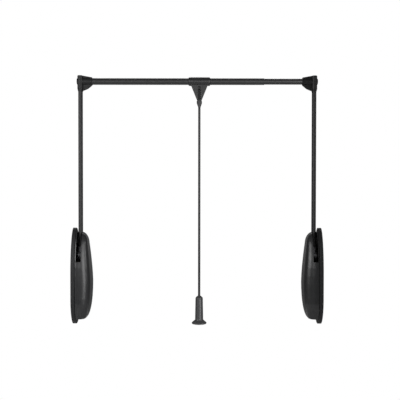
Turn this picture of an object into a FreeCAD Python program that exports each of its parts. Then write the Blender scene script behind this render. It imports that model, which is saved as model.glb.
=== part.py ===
import FreeCAD, Part
import math
import os
import Sketcher
from FreeCAD import Placement, Rotation
from FreeCAD import Vector as V

# Pull-down closet rod: two side housings screwed to the wardrobe's walls, a sprung and
# damped arm in each, a telescopic hanging rod between the arms and a hanging pull rod.
# Frame: origin on the left housing's wall face at the pivot axis, +X towards the right
# housing, +Y towards the wardrobe's back, +Z up.  Millimetres.

DIMENSIONS = {
    # whole lift
    "overall_width": 849.0,
    "rod_height": 594.5,
    "arm_plane": 25.0,
    "running_gap": 0.3,
    "fit_gap": 0.03,
    "shaft_gap": 0.05,
    # housing outline, seen from the side
    "housing_half_depth": 55.0,
    "crown_rise": 158.8,
    "belly_top": 64.5,
    "belly_bottom": 144.5,
    "foot_drop": 90.5,
    "tray_depth": 12.0,
    "rim_round": 1.5,
    "plate": 3.0,
    # cover, seen from the front
    "cover_inset": 2.5,
    "cover_wall": 2.5,
    "cover_top": 79.3,
    "cover_bottom": 215.5,
    "shoulder_height": 40.5,
    "shoulder_reach": 51.8,
    "belly_reach": 62.7,
    "belly_middle": 89.5,
    "belly_bend": 1.35,
    "top_reach": 28.5,
    "bottom_reach": 41.0,
    "roll_depth": 1.7,
    "roll_length": 7.0,
    "side_share": 0.1,
    "corner_share": 0.5,
    "slot_width": 16.8,
    "slot_bottom": 19.0,
    "slot_back": 15.0,
    # screws of the housing
    "wall_screw_spread": 36.0,
    "wall_screw_top": 25.0,
    "wall_screw_bottom": 125.0,
    "wall_screw_hole": 2.75,
    "cover_screw_spread": 38.0,
    "cover_screw_drop": 40.0,
    "cover_screw_foot": 202.0,
    "cover_screw_radius": 2.0,
    "cover_screw_head": 3.9,
    "cover_screw_length": 22.0,
    "cover_boss_radius": 4.0,
    # pivot
    "axle_radius": 5.0,
    "axle_seat": 5.0,
    "axle_end": 46.5,
    "axle_boss_radius": 12.0,
    "bush_wall": 2.0,
    "bush_flange": 9.0,
    "bush_flange_thick": 1.2,
    "hub_radius": 15.6,
    "hub_side": 0.6,
    "hub_rim": 1.45,
    "dog_circle": 12.3,
    "dog_radius": 1.6,
    "washer_radius": 9.0,
    "washer_thick": 1.0,
    "clip_thick": 1.2,
    "clip_radius": 8.0,
    "clip_mouth": 2.8,
    "groove_depth": 1.0,
    # arm
    "arm_wide": 13.5,
    "arm_deep": 25.0,
    "arm_wall": 1.5,
    "collar_bottom": 10.0,
    "collar_top": 30.0,
    "collar_margin": 1.2,
    "plug_length": 44.0,
    "rivet_radius": 2.4,
    "rivet_head": 4.2,
    "rivet_head_thick": 0.8,
    "rivet_first": 12.0,
    "rivet_pitch": 20.0,
    # rack drive
    "gear_module": 2.0,
    "gear_teeth": 18.0,
    "gear_width": 8.0,
    "backlash": 0.2,
    "rack_side": 0.4,
    "rack_back": 6.5,
    "rack_bottom": 46.0,
    "rack_top": 38.0,
    "crossbar_height": 12.0,
    "crossbar_half": 31.0,
    "crossbar_wall_side": 19.0,
    "mechanism_plane": 28.0,
    "guide_spread": 25.0,
    "guide_radius": 3.0,
    "guide_over": 6.0,
    "shelf_top": 184.0,
    "shelf_thick": 6.0,
    "shelf_half": 30.0,
    "shelf_reach": 38.0,
    "foot_height": 24.0,
    "foot_thick": 2.5,
    # gas spring and damper
    "gas_radius": 9.0,
    "strut_gap": 1.5,
    "damper_radius": 8.0,
    "damper_wall": 1.8,
    "damper_top": 104.0,
    "damper_rod_radius": 2.6,
    "piston_height": 8.0,
    "piston_level": 136.0,
    "gland_length": 5.4,
    # rest stop
    "stop_low": 38.0,
    "stop_high": 58.0,
    "stop_wide": 11.0,
    "stop_thick": 5.0,
    "rib_thick": 4.0,
    # hanging rod
    "outer_tube_radius": 11.25,
    "tube_wall": 1.2,
    "slide_gap": 0.08,
    "outer_tube_end": 652.6,
    "inner_tube_hidden": 397.0,
    # corner connector
    "barrel_margin": 2.7,
    "barrel_rise": 19.3,
    "barrel_drop": 34.0,
    "barrel_round": 2.0,
    "barrel_taper": 8.0,
    "barrel_foot_margin": 0.7,
    "socket_top": 14.0,
    "socket_radius": 13.2,
    "socket_reach": 40.5,
    "socket_round": 0.8,
    "socket_floor": 2.4,
    "web_thick": 11.0,
    "web_round": 1.5,
    "web_end": 40.0,
    "web_top_end": 13.6,
    "web_bottom_end": 13.0,
    "web_shoulder": 9.0,
    "web_knee": 26.0,
    "web_knee_drop": 24.7,
    "web_step": 1.5,
    "cap_radius": 10.8,
    "cap_out": 11.7,
    "cap_thick": 3.2,
    "cap_round": 1.6,
    "rod_plug_length": 26.0,
    "corner_screw_radius": 3.0,
    "corner_screw_head": 5.6,
    "corner_screw_head_thick": 1.6,
    "corner_screw_length": 34.0,
    # pull rod bracket
    "bracket_offset": 7.0,
    "sleeve_radius": 14.9,
    "sleeve_length": 74.0,
    "sleeve_round": 3.0,
    "ear_top_half": 29.0,
    "ear_bottom_half": 8.2,
    "ear_length": 48.0,
    "ear_thick": 17.0,
    "ear_round": 2.0,
    "fork_half": 4.9,
    "fork_top": 1.4,
    "fork_web_face": 3.0,
    "pin_drop": 17.0,
    "pin_radius": 2.5,
    "pin_half": 20.5,
    "grub_radius": 2.5,
    # pull rod
    "eye_radius": 6.5,
    "neck_half": 5.0,
    "ferrule_top_radius": 7.2,
    "ferrule_radius": 9.0,
    "ferrule_shoulder": 4.0,
    "ferrule_belly": 11.0,
    "ferrule_round": 8.0,
    "ferrule_length": 25.0,
    "ferrule_lip": 2.0,
    "pull_rod_radius": 3.5,
    "pull_rod_seat": 18.0,
    "grip_top": 140.0,
    "grip_length": 95.5,
    "grip_neck_radius": 6.0,
    "grip_stem_radius": 12.5,
    "grip_waist_radius": 14.0,
    "grip_rim_radius": 25.2,
    "grip_rim_thick": 3.7,
    "grip_flare": 9.8,
    "grip_taper": 6.5,
    "grip_round": 1.5,
    "grip_hollow_round": 3.0,
    "grip_rim_round": 1.6,
    "grip_recess": 4.0,
    "grip_wall": 3.0,
    "grip_web": 10.0,
    "grip_screw_length": 22.0,
    "grip_screw_radius": 1.6,
    "grip_screw_head": 3.4,
}

document = FreeCAD.newDocument("closet_lift")
sheet = document.addObject("Spreadsheet::Sheet", "Sizes")
for row, (alias, number) in enumerate(DIMENSIONS.items(), start=1):
    sheet.set("A%d" % row, alias.replace("_", " "))
    sheet.set("B%d" % row, str(number))
    sheet.setAlias("B%d" % row, alias)
document.recompute()


class Size:
    """A length: its value now, and the expression that binds it to the sheet."""

    def __init__(self, value, text):
        self.value = float(value)
        self.text = text

    def __add__(self, other):
        other = as_size(other)
        return Size(self.value + other.value, "(%s + %s)" % (self.text, other.text))

    def __sub__(self, other):
        other = as_size(other)
        return Size(self.value - other.value, "(%s - %s)" % (self.text, other.text))

    def __mul__(self, other):
        other = as_size(other)
        return Size(self.value * other.value, "(%s * %s)" % (self.text, other.text))

    def __truediv__(self, other):
        other = as_size(other)
        return Size(self.value / other.value, "(%s / %s)" % (self.text, other.text))

    def __radd__(self, other):
        return as_size(other) + self

    def __rsub__(self, other):
        return as_size(other) - self

    def __rmul__(self, other):
        return as_size(other) * self

    def __neg__(self):
        return as_size(0) - self


def as_size(number):
    if isinstance(number, Size):
        return number
    if number < 0:
        return Size(number, "(0 - %r)" % float(-number))
    return Size(number, repr(float(number)))


def size(alias):
    return Size(sheet.get(alias), "Sizes." + alias)


# ---- drawing helpers ---------------------------------------------------------------

ALONG = {
    "X": Rotation(V(0, 0, 1), V(1, 0, 0)),
    "-X": Rotation(V(0, 0, 1), V(-1, 0, 0)),
    "Y": Rotation(V(0, 0, 1), V(0, 1, 0)),
    "-Y": Rotation(V(0, 0, 1), V(0, -1, 0)),
    "Z": Rotation(),
    "-Z": Rotation(V(0, 0, 1), V(0, 0, -1)),
}


def bind(thing, field, length):
    thing.setExpression(field, as_size(length).text)


def place(thing, point, along="Z"):
    thing.Placement = Placement(V(*[as_size(step).value for step in point]), ALONG[along])
    for field, step in zip("xyz", point):
        bind(thing, "Placement.Base." + field, step)
    return thing


def box(name, low, high):
    thing = document.addObject("Part::Box", name)
    for field, start, end in zip(("Length", "Width", "Height"), low, high):
        bind(thing, field, as_size(end) - start)
    return place(thing, low)


def cylinder(name, point, radius, length, along="Z"):
    thing = document.addObject("Part::Cylinder", name)
    bind(thing, "Radius", radius)
    bind(thing, "Height", length)
    return place(thing, point, along)


def cone(name, point, first, last, length, along="Z"):
    thing = document.addObject("Part::Cone", name)
    bind(thing, "Radius1", first)
    bind(thing, "Radius2", last)
    bind(thing, "Height", length)
    return place(thing, point, along)


def join(name, *pieces):
    thing = document.addObject("Part::MultiFuse", name)
    thing.Shapes = list(pieces)
    thing.Refine = True
    return thing


def cut(name, base, *tools):
    thing = document.addObject("Part::Cut", name)
    thing.Base = base
    thing.Tool = tools[0] if len(tools) == 1 else join(name + "_tools", *tools)
    thing.Refine = True
    return thing


def oval_bar(name, centre, wide, deep, low, high):
    """An upright bar of flat-oval section: `wide` along X, `deep` along Y."""
    x, y = centre
    radius = wide / 2
    reach = (deep - wide) / 2
    length = high - low
    middle = box(name + "_flat", (x - radius, y - reach, low), (x + radius, y + reach, high))
    front = cylinder(name + "_front", (x, y - reach, low), radius, length)
    back = cylinder(name + "_back", (x, y + reach, low), radius, length)
    return join(name, middle, front, back)


def draw(body, name, role, loops):
    """A sketch on one of the body's own planes; corners and circles are bound to the sheet."""
    sketch = body.newObject("Sketcher::SketchObject", name)
    plane = [f for f in body.Origin.OriginFeatures if f.Role == role][0]
    sketch.AttachmentSupport = [(plane, "")]
    sketch.MapMode = "FlatFace"
    for loop in loops:
        first = sketch.GeometryCount
        if len(loop) == 1:
            u, v, radius = [as_size(number) for number in loop[0]]
            sketch.addGeometry(Part.Circle(V(u.value, v.value, 0), V(0, 0, 1), radius.value))
            fix(sketch, "DistanceX", first, 3, u)
            fix(sketch, "DistanceY", first, 3, v)
            index = sketch.addConstraint(Sketcher.Constraint("Radius", first, radius.value))
            bind(sketch, "Constraints[%d]" % index, radius)
            continue
        corners = [(as_size(u), as_size(v)) for u, v in loop]
        for here, there in zip(corners, corners[1:] + corners[:1]):
            start = V(here[0].value, here[1].value, 0)
            end = V(there[0].value, there[1].value, 0)
            sketch.addGeometry(Part.LineSegment(start, end))
        for step in range(len(corners)):
            after = (step + 1) % len(corners)
            sketch.addConstraint(Sketcher.Constraint("Coincident", first + step, 2, first + after, 1))
        for step, (u, v) in enumerate(corners):
            fix(sketch, "DistanceX", first + step, 1, u)
            fix(sketch, "DistanceY", first + step, 1, v)
    return sketch


def fix(sketch, kind, geometry, point, length):
    index = sketch.addConstraint(Sketcher.Constraint(kind, -1, 1, geometry, point, length.value))
    bind(sketch, "Constraints[%d]" % index, length)


def padded(name, role, loops, length, middle=False):
    """A body padded from a sketch, from its plane outwards or to both sides of it."""
    body = document.addObject("PartDesign::Body", name)
    sketch = draw(body, name + "_outline", role, loops)
    pad = body.newObject("PartDesign::Pad", name + "_pad")
    pad.Profile = sketch
    pad.Midplane = middle
    bind(pad, "Length", length)
    return body


def turned(name, profile, point, along="Z"):
    """A body revolved about its own Z axis; `profile` lists (radius, height) corners."""
    body = document.addObject("PartDesign::Body", name)
    sketch = draw(body, name + "_profile", "XZ_Plane", [profile])
    revolution = body.newObject("PartDesign::Revolution", name + "_turn")
    revolution.Profile = sketch
    revolution.ReferenceAxis = (sketch, ["V_Axis"])
    revolution.Angle = 360
    return place(body, point, along)


NEAR = 0.001


def edge_at(axis, level):
    """Chooses the edges that lie wholly at a level of an axis."""
    def chosen(edge):
        return all(abs(getattr(end.Point, axis) - level.value) < NEAR for end in edge.Vertexes)
    return chosen


def ring_at(radius, level):
    """Chooses the round edge of a radius whose centre is at a height."""
    def chosen(edge):
        curve = edge.Curve
        if not isinstance(curve, Part.Circle):
            return False
        return abs(curve.Radius - radius.value) < NEAR and abs(curve.Center.z - level.value) < NEAR
    return chosen


def slanted(edge):
    """Chooses the edges whose two ends are at different heights."""
    return abs(edge.Vertexes[0].Z - edge.Vertexes[-1].Z) > NEAR


def rounded(name, base, *rounds):
    """Rounds edges of `base`; each of `rounds` is a radius and the choice of its edges."""
    document.recompute()
    thing = document.addObject("Part::Fillet", name)
    thing.Base = base
    thing.Edges = [
        (number, radius.value, radius.value)
        for number, edge in enumerate(base.Shape.Edges, start=1)
        for radius, chosen in rounds
        if chosen(edge)
    ]
    return thing


def tapered_oval(name, x, foot_wide, wide, deep, low, high):
    """A flat-oval bar at Y 0 that narrows from `wide` by `deep` at its top to its foot."""
    reach = (deep - wide) / 2
    length = high - low
    outline = [(x - foot_wide / 2, low), (x + foot_wide / 2, low), (x + wide / 2, high), (x - wide / 2, high)]
    middle = padded(name + "_flat", "XZ_Plane", [outline], 2 * reach, True)
    front = cone(name + "_front", (x, -reach, low), foot_wide / 2, wide / 2, length)
    back = cone(name + "_back", (x, reach, low), foot_wide / 2, wide / 2, length)
    return join(name, middle, front, back)


NODES = []


def keep(name, thing):
    thing.Label = name
    NODES.append(thing)
    return thing


def keep_both(name, thing, right=None):
    """The left piece, and its mirror image about the middle of the lift."""
    keep("left_" + name, thing)
    mirror = document.addObject("Part::Mirroring", "right_" + name)
    mirror.Source = right if right else thing
    mirror.Normal = V(1, 0, 0)
    bind(mirror, "Base.x", size("overall_width") / 2)
    keep("right_" + name, mirror)


# ---- housing: tray and cover --------------------------------------------------------

plate = size("plate")
tray_depth = size("tray_depth")
arm_plane = size("arm_plane")
running_gap = size("running_gap")
fit_gap = size("fit_gap")
mechanism_plane = size("mechanism_plane")


def outline_half_depth(height, inset):
    """Half the housing's depth at a height: half an ellipse over and under straight sides."""
    half = size("housing_half_depth").value
    over = height + size("belly_top").value
    under = -size("belly_bottom").value - height
    if over > 0:
        return half * math.sqrt(1 - (over / size("crown_rise").value) ** 2) - inset
    if under > 0:
        return half * math.sqrt(1 - (under / size("foot_drop").value) ** 2) - inset
    return half - inset


def cover_reach(height):
    """How far the cover stands from the wall at a height."""
    top = size("cover_top").value
    bottom = -size("cover_bottom").value
    shoulder = size("shoulder_height").value
    shoulder_reach = size("shoulder_reach").value
    belly = size("belly_reach").value
    middle = -size("belly_middle").value
    if height > shoulder:
        share = (height - shoulder) / (top - shoulder)
        start = size("top_reach").value
        return start + (shoulder_reach - start) * math.sqrt(max(0.0, 1 - share ** 2))
    if height > middle:
        share = (height - middle) / (shoulder - middle)
        return belly - (belly - shoulder_reach) * share ** size("belly_bend").value
    share = (middle - height) / (middle - bottom)
    start = size("bottom_reach").value
    return start + (belly - start) * math.sqrt(max(0.0, 1 - share ** 2))


def half_ellipse(centre, side, tip):
    """The half of an ellipse that runs from one side to the other by way of its tip."""
    reach = (tip - centre).Length
    half = (side - centre).Length
    major, minor = (tip, side) if reach > half else (side, tip)
    curve = Part.Ellipse(major, minor, centre)
    middle = curve.parameter(tip)
    return Part.ArcOfEllipse(curve, middle - math.pi / 2, middle + math.pi / 2).toShape()


def side_outline(inset):
    """The housing's outline in the YZ plane, inset all round."""
    half = size("housing_half_depth").value - inset
    belly_top = -size("belly_top").value
    belly_bottom = -size("belly_bottom").value
    crown_tip = V(0, 0, belly_top + size("crown_rise").value - inset)
    foot_tip = V(0, 0, belly_bottom - size("foot_drop").value + inset)
    edges = [
        half_ellipse(V(0, 0, belly_top), V(0, half, belly_top), crown_tip),
        half_ellipse(V(0, 0, belly_bottom), V(0, half, belly_bottom), foot_tip),
        Part.makeLine(V(0, half, belly_top), V(0, half, belly_bottom)),
        Part.makeLine(V(0, -half, belly_top), V(0, -half, belly_bottom)),
    ]
    return Part.Face(Part.Wire(Part.__sortEdges__(edges)))


def quarter_ellipse(centre, first, last):
    """The quarter of an ellipse between two points that lie square to each other."""
    major, minor = (first, last) if (first - centre).Length > (last - centre).Length else (last, first)
    return Part.ArcOfEllipse(Part.Ellipse(major, minor, centre), 0, math.pi / 2).toShape()


def cover_section(height, back, inset, roll):
    """The cover's section at a height: a flat face between two rounded corners, straight sides
    and, where `roll` is not 0, edges that roll inwards to the tray's rim."""
    half = outline_half_depth(height, size("cover_inset").value)
    flat = half * (1 - size("corner_share").value)
    half = half - inset
    roll_end = tray_depth.value + size("roll_length").value
    side = roll_end + size("side_share").value * (cover_reach(height) - roll_end)
    reach = cover_reach(height) - inset
    edges = [Part.makeLine(V(reach, -flat, height), V(reach, flat, height))]
    for way in (-1, 1):
        root = V(back, way * (half - roll), height)
        corner_start = V(side, way * half, height)
        corner_middle = V(side, way * flat, height)
        edges.append(quarter_ellipse(corner_middle, corner_start, V(reach, way * flat, height)))
        if roll:
            roll_top = V(roll_end, way * half, height)
            edges.append(quarter_ellipse(V(roll_end, root.y, height), root, roll_top))
            edges.append(Part.makeLine(roll_top, corner_start))
        else:
            edges.append(Part.makeLine(root, corner_start))
    edges.append(Part.makeLine(V(back, roll - half, height), V(back, half - roll, height)))
    return Part.Wire(Part.__sortEdges__(edges))


OUTER_BANDS = 7
INNER_BANDS = 4


def cover_body(back, inset, roll, bands):
    """A solid through the cover's sections, its faces inset by the same amount."""
    top = size("cover_top").value - inset
    bottom = -size("cover_bottom").value + inset
    shoulder = size("shoulder_height").value
    knee = -size("belly_bottom").value
    quarter = [math.pi / 2 * step / bands for step in range(bands + 1)]
    heights = [top - (top - shoulder) * (1 - math.cos(angle)) for angle in quarter]
    heights += [shoulder + (knee - shoulder) * step / bands for step in range(1, bands)]
    heights += [knee + (bottom - knee) * math.sin(angle) for angle in quarter]
    return Part.makeLoft([cover_section(height, back, inset, roll) for height in heights], True, True)


def feature(name, shape):
    thing = document.addObject("Part::Feature", name)
    thing.Shape = shape
    return thing


def group(name, *pieces):
    thing = document.addObject("Part::Compound", name)
    thing.Links = list(pieces)
    return thing


pivot_face = arm_plane - size("arm_wide") / 2 - size("hub_side")
hub_end = arm_plane + size("arm_wide") / 2 + size("hub_side")
hub_rim_end = hub_end + size("hub_rim")
bush_bore = size("axle_radius") + size("shaft_gap")
bush_outer = bush_bore + size("bush_wall")
flange_thick = size("bush_flange_thick")
boss_end = pivot_face - flange_thick - running_gap
cover_top = size("cover_top")
cover_bottom = size("cover_bottom")
wall_screw_spread = size("wall_screw_spread")

screw_spots = [
    (size("cover_screw_spread"), -size("cover_screw_drop")),
    (-size("cover_screw_spread"), -size("cover_screw_drop")),
    (as_size(0), -size("cover_screw_foot")),
]


def tray():
    cover_skin = size("cover_inset").value + size("cover_wall").value
    blank = side_outline(0).extrude(V(tray_depth.value, 0, 0))
    rim = [edge for edge in blank.Edges if edge_at("x", tray_depth)(edge)]
    blank = blank.makeFillet(size("rim_round").value, rim)
    well = side_outline(cover_skin).extrude(V(tray_depth.value, 0, 0))
    low = -cover_bottom.value + size("cover_wall").value
    high = cover_top.value - size("cover_wall").value
    half = size("housing_half_depth").value
    band = Part.makeBox(tray_depth.value, 2 * half, high - low, V(0, -half, low))
    well = well.common(band)
    well.translate(V(plate.value, 0, 0))
    dish = feature("tray_dish", blank.cut(well))
    boss_radius = size("axle_boss_radius")
    boss = cylinder("axle_boss", (plate, 0, 0), boss_radius, boss_end - plate, "X")
    stop_back = size("arm_deep") / 2 + running_gap + size("stop_thick")
    stop_half = size("stop_wide") / 2
    rib = box(
        "stop_rib",
        (plate, stop_back, size("stop_low")),
        (arm_plane + stop_half, stop_back + size("rib_thick"), size("stop_high")),
    )
    seat = size("axle_seat")
    seat_radius = size("axle_radius") + fit_gap
    holes = [cylinder("axle_hole", (seat, 0, 0), seat_radius, boss_end, "X")]
    for side, spread in (("front", -wall_screw_spread), ("rear", wall_screw_spread)):
        for end, height in (("top", size("wall_screw_top")), ("foot", -size("wall_screw_bottom"))):
            name = "wall_hole_%s_%s" % (side, end)
            holes.append(cylinder(name, (0, spread, height), size("wall_screw_hole"), tray_depth, "X"))
    for number, (spread, height) in enumerate(screw_spots, start=1):
        radius = size("cover_screw_radius") + fit_gap
        head = size("cover_screw_head") + fit_gap
        sink = head - radius
        holes.append(cylinder("screw_way_%d" % number, (0, spread, height), radius, tray_depth, "X"))
        holes.append(cone("screw_sink_%d" % number, (0, spread, height), head, radius, sink, "X"))
    return cut("tray", join("tray_solid", dish, boss, rib), *holes)


def cover():
    wall = size("cover_wall").value
    outer = cover_body(tray_depth.value, 0, size("roll_depth").value, OUTER_BANDS)
    hollow = cover_body(plate.value, wall, 0, INNER_BANDS)
    shell = outer.cut(hollow)
    half = size("housing_half_depth").value
    gap = size("slot_width").value
    bottom = -size("slot_bottom").value
    deep = half + size("slot_back").value
    corner = V(arm_plane.value - gap / 2, -half, bottom)
    slot = Part.makeBox(gap, deep, cover_top.value + wall - bottom, corner)
    shell = shell.cut(slot)
    filled = cover_body(plate.value, wall / 2, 0, INNER_BANDS)
    for spread, height in screw_spots:
        start = V(plate.value, spread.value, height.value)
        reach = size("belly_reach").value
        post = Part.makeCylinder(size("cover_boss_radius").value, reach, start, V(1, 0, 0))
        shell = shell.fuse(post.common(filled))
        radius = size("cover_screw_radius").value + fit_gap.value
        depth = size("cover_screw_length").value
        shell = shell.cut(Part.makeCylinder(radius, depth, start, V(1, 0, 0)))
    return feature("cover_shell", shell.removeSplitter())


def cover_screws():
    screws = []
    for number, (spread, height) in enumerate(screw_spots, start=1):
        radius = size("cover_screw_radius")
        head = size("cover_screw_head")
        length = size("cover_screw_length")
        sink = head - radius
        profile = [(0, 0), (head, 0), (radius, sink), (radius, length), (0, length)]
        screws.append(turned("cover_screw_%d" % number, profile, (0, spread, height), "X"))
    return group("cover_screws", *screws)


keep_both("base_tray", tray())
keep_both("cover", cover())
keep_both("cover_screws", cover_screws())


# ---- pivot: axle, bushes, washer and ring --------------------------------------------

gear_width = size("gear_width")
pinion_end = hub_rim_end + gear_width
washer_start = pinion_end + running_gap
clip_start = washer_start + size("washer_thick")
clip_end = clip_start + size("clip_thick")


def axle():
    radius = size("axle_radius")
    start = size("axle_seat")
    neck = radius - size("groove_depth")
    chamfer = size("groove_depth")
    end = size("axle_end")
    profile = [
        (0, 0),
        (radius, 0),
        (radius, clip_start - start),
        (neck, clip_start - start),
        (neck, clip_end - start),
        (radius, clip_end - start),
        (radius, end - start - chamfer),
        (radius - chamfer, end - start),
        (0, end - start),
    ]
    return turned("axle", profile, (start, 0, 0), "X")


def axle_ring():
    washer_bore = size("axle_radius") + size("shaft_gap")
    disc = [
        (washer_bore, 0),
        (size("washer_radius"), 0),
        (size("washer_radius"), size("washer_thick")),
        (washer_bore, size("washer_thick")),
    ]
    washer = turned("axle_washer", disc, (washer_start, 0, 0), "X")
    neck = size("axle_radius") - size("groove_depth") + fit_gap
    ring = [
        (neck, 0),
        (size("clip_radius"), 0),
        (size("clip_radius"), size("clip_thick")),
        (neck, size("clip_thick")),
    ]
    whole = turned("axle_clip_ring", ring, (clip_start, 0, 0), "X")
    mouth = size("clip_mouth")
    low = (clip_start, -mouth, -size("clip_radius"))
    gap = box("axle_clip_mouth", low, (clip_end, mouth, 0))
    return group("axle_ring", washer, cut("axle_clip", whole, gap))


def bush(name, face, along):
    sleeve = arm_plane - pivot_face - size("hub_side")
    flange = size("bush_flange")
    profile = [
        (bush_bore, -flange_thick),
        (flange, -flange_thick),
        (flange, 0),
        (bush_outer - fit_gap, 0),
        (bush_outer - fit_gap, sleeve),
        (bush_bore, sleeve),
    ]
    return turned(name, profile, (face, 0, 0), along)


keep_both("axle", axle())
keep_both("axle_ring", axle_ring())
keep_both("bushes", group("bushes", bush("wall_bush", pivot_face, "X"), bush("inner_bush", hub_end, "-X")))


# ---- arm root, arm and rivets ---------------------------------------------------------

arm_wide = size("arm_wide")
arm_deep = size("arm_deep")
arm_wall = size("arm_wall")
collar_top = size("collar_top")
rod_height = size("rod_height")
arm_top = rod_height + size("socket_top")
plug_wide = arm_wide - 2 * arm_wall - 2 * fit_gap
plug_deep = arm_deep - 2 * arm_wall - 2 * fit_gap
rivet_levels = [
    collar_top + size("rivet_first"),
    collar_top + size("rivet_first") + size("rivet_pitch"),
]


def rivet_ways(name):
    wide = arm_wide + 2 * size("rivet_head_thick")
    radius = size("rivet_radius") + fit_gap
    start = arm_plane - wide / 2
    return [
        cylinder("%s_%d" % (name, number), (start, 0, level), radius, wide, "X")
        for number, level in enumerate(rivet_levels, start=1)
    ]


def dog_centres():
    circle = size("dog_circle")
    return [(0, circle), (0, -circle)]


def arm_root():
    hub = cylinder("hub", (pivot_face, 0, 0), size("hub_radius"), hub_rim_end - pivot_face, "X")
    margin = size("collar_margin") * 2
    centre = (arm_plane, as_size(0))
    collar_bottom = size("collar_bottom")
    plug_top = collar_top + size("plug_length")
    collar = oval_bar("collar", centre, arm_wide + margin, arm_deep + margin, collar_bottom, collar_top)
    plug = oval_bar("plug", centre, plug_wide, plug_deep, collar_bottom, plug_top)
    dog_length = gear_width - running_gap
    dogs = [
        cylinder("dog_%d" % number, (hub_end, y, z), size("dog_radius"), dog_length + size("hub_rim"), "X")
        for number, (y, z) in enumerate(dog_centres(), start=1)
    ]
    bore = cylinder("hub_bore", (pivot_face, 0, 0), bush_outer, hub_rim_end - pivot_face, "X")
    pocket = size("bush_flange") + running_gap
    rim = cylinder("flange_pocket", (hub_end, 0, 0), pocket, size("hub_rim"), "X")
    solid = join("arm_root_solid", hub, collar, plug, *dogs)
    return cut("arm_root", solid, bore, rim, *rivet_ways("plug_way"))


def arm():
    centre = (arm_plane, as_size(0))
    outside = oval_bar("arm_outside", centre, arm_wide, arm_deep, collar_top, arm_top)
    inner_wide = arm_wide - 2 * arm_wall
    inner_deep = arm_deep - 2 * arm_wall
    inside = oval_bar("arm_inside", centre, inner_wide, inner_deep, collar_top, arm_top)
    radius = size("corner_screw_radius") + size("slide_gap")
    screw_way = cylinder("arm_screw_way", (0, 0, rod_height), radius, 2 * arm_plane, "X")
    return cut("arm_tube", outside, inside, screw_way, *rivet_ways("arm_way"))


def rivet(name, level):
    head = size("rivet_head")
    radius = size("rivet_radius")
    thick = size("rivet_head_thick")
    profile = [
        (0, 0),
        (head - thick, 0),
        (head, thick),
        (radius, thick),
        (radius, arm_wide + thick),
        (head, arm_wide + thick),
        (head - thick, arm_wide + 2 * thick),
        (0, arm_wide + 2 * thick),
    ]
    return turned(name, profile, (arm_plane - arm_wide / 2 - thick, 0, level), "X")


keep_both("arm_root", arm_root())
keep_both("arm", arm())
rivets = [rivet("rivet_%d" % number, level) for number, level in enumerate(rivet_levels, start=1)]
keep_both("arm_rivets", group("arm_rivets", *rivets))


# ---- rack and pinion --------------------------------------------------------------------

module = size("gear_module")
teeth = size("gear_teeth")
pitch_radius = module * teeth / 2
PRESSURE_ANGLE = math.radians(20)
DEDENDUM = 1.25


def pinion():
    """Involute teeth: a space faces the rack, straight flanks below the base circle."""
    pitch = pitch_radius.value
    tip = pitch + module.value
    root = pitch - DEDENDUM * module.value
    base = pitch * math.cos(PRESSURE_ANGLE)
    count = int(round(teeth.value))
    slack = size("backlash").value / 2 / pitch
    half = math.pi / 2 / count - slack / 2 + math.tan(PRESSURE_ANGLE) - PRESSURE_ANGLE

    def flank(radius):
        turn = math.acos(min(1.0, base / radius))
        return half - (math.tan(turn) - turn)

    radii = [root, base, (base + pitch) / 2, pitch, (pitch + tip) / 2, tip]
    corners = []
    for tooth in range(count):
        middle = 2 * math.pi * (tooth + 0.5) / count
        rising = [(radius, middle - flank(max(radius, base))) for radius in radii]
        falling = [(radius, middle + flank(max(radius, base))) for radius in reversed(radii)]
        for radius, angle in rising + falling:
            corners.append(V(0, -radius * math.cos(angle), radius * math.sin(angle)))
    blank = Part.Face(Part.makePolygon(corners + corners[:1])).extrude(V(gear_width.value, 0, 0))
    wheel = feature("pinion_blank", blank)
    place(wheel, (hub_rim_end, 0, 0))
    bore_radius = size("axle_radius") + running_gap
    bore = cylinder("pinion_bore", (hub_rim_end, 0, 0), bore_radius, gear_width, "X")
    dog_ways = [
        cylinder("dog_way_%d" % number, (hub_rim_end, y, z), size("dog_radius") + fit_gap, gear_width, "X")
        for number, (y, z) in enumerate(dog_centres(), start=1)
    ]
    return cut("pinion_wheel", wheel, bore, *dog_ways)


def rack():
    """The toothed bar: one tooth padded on the bar, then repeated up it."""
    slope = math.tan(PRESSURE_ANGLE)
    half = module * math.pi / 4 - size("backlash") / 2
    root_line = -(pitch_radius + DEDENDUM * module)
    tip_line = -(pitch_radius - module)
    root_half = half + DEDENDUM * slope * module
    tip_half = half - slope * module
    tooth_pitch = module * math.pi
    low = -(size("rack_bottom") + size("crossbar_height"))
    back_line = root_line - size("rack_back")
    high = size("rack_top")
    bar_outline = [(back_line, low), (root_line, low), (root_line, high), (back_line, high)]
    thick = gear_width - 2 * size("rack_side")
    body = document.addObject("PartDesign::Body", "rack_bar")
    bar = body.newObject("PartDesign::Pad", "rack_bar_pad")
    bar.Profile = draw(body, "rack_bar_outline", "YZ_Plane", [bar_outline])
    bind(bar, "Length", thick)
    first = -tooth_pitch
    heel = root_line - size("rack_back") / 2
    corners = [
        (heel, first - root_half),
        (root_line, first - root_half),
        (tip_line, first - tip_half),
        (tip_line, first + tip_half),
        (root_line, first + root_half),
        (heel, first + root_half),
    ]
    tooth_outline = draw(body, "rack_tooth_outline", "YZ_Plane", [corners])
    tooth = body.newObject("PartDesign::Pad", "rack_tooth")
    tooth.Profile = tooth_outline
    bind(tooth, "Length", thick)
    document.recompute()
    pattern = body.newObject("PartDesign::LinearPattern", "rack_teeth")
    pattern.Originals = [tooth]
    pattern.Direction = (tooth_outline, ["V_Axis"])
    count = int((high.value - root_half.value) / tooth_pitch.value) + 2
    bind(pattern, "Length", (count - 1) * tooth_pitch)
    pattern.Occurrences = count
    body.Tip = pattern
    return place(body, (hub_rim_end + size("rack_side"), 0, 0))


crossbar_top = -size("rack_bottom")
crossbar_low = crossbar_top - size("crossbar_height")
guide_spread = size("guide_spread")
guide_spots = [("front", -guide_spread), ("rear", guide_spread)]


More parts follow.
